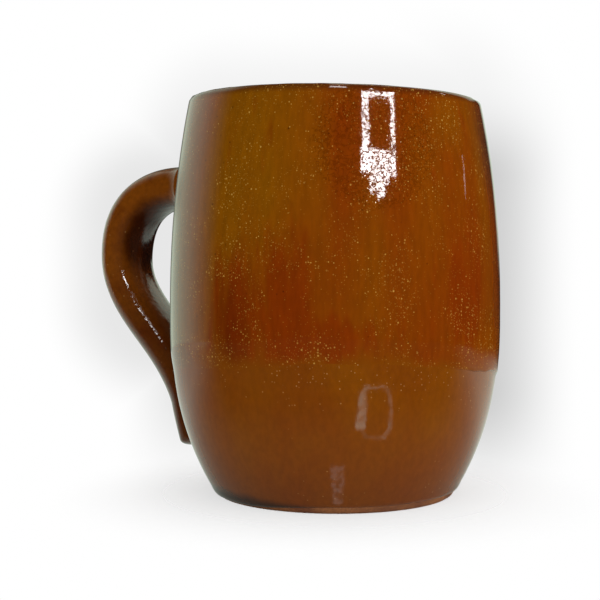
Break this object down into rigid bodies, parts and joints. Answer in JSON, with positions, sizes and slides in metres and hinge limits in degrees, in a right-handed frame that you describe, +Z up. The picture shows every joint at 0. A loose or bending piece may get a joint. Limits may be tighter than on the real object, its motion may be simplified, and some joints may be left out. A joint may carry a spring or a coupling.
{
  "type": "mug",
  "caption": "Barrel-shaped thrown clay mug with a pulled strap handle at one side, a bare foot and a slanted second glaze coat.",
  "frame": {"origin": "centre of the flat foot, on the surface the mug stands on", "axes": "+Z up along the mug's axis, handle towards -X, mirror plane y = 0"},
  "size_m": [0.1191, 0.0928, 0.11],
  "materials": {
    "fired_clay": "matt unglazed clay with fine grog and wire-cut marks on the foot",
    "joint_slip": "fired slip, sealed between the handle, the wall and the glaze",
    "brown_glaze": "satin brown glaze",
    "amber_glaze": "glossy amber glaze with vertical streaks, dark patches and golden specks",
    "liner_glaze": "glossy brown glaze inside",
    "handle_glaze": "glossy dark amber glaze"
  },
  "bodies": {
    "root": {"clay_body": "fired_clay", "clay_handle": "fired_clay", "upper_joint_slip": "joint_slip", "lower_joint_slip": "joint_slip", "first_coat_glaze": "brown_glaze", "dip_coat_glaze": "amber_glaze", "liner_glaze": "liner_glaze", "handle_glaze": "handle_glaze"}
  },
  "joints": []
}
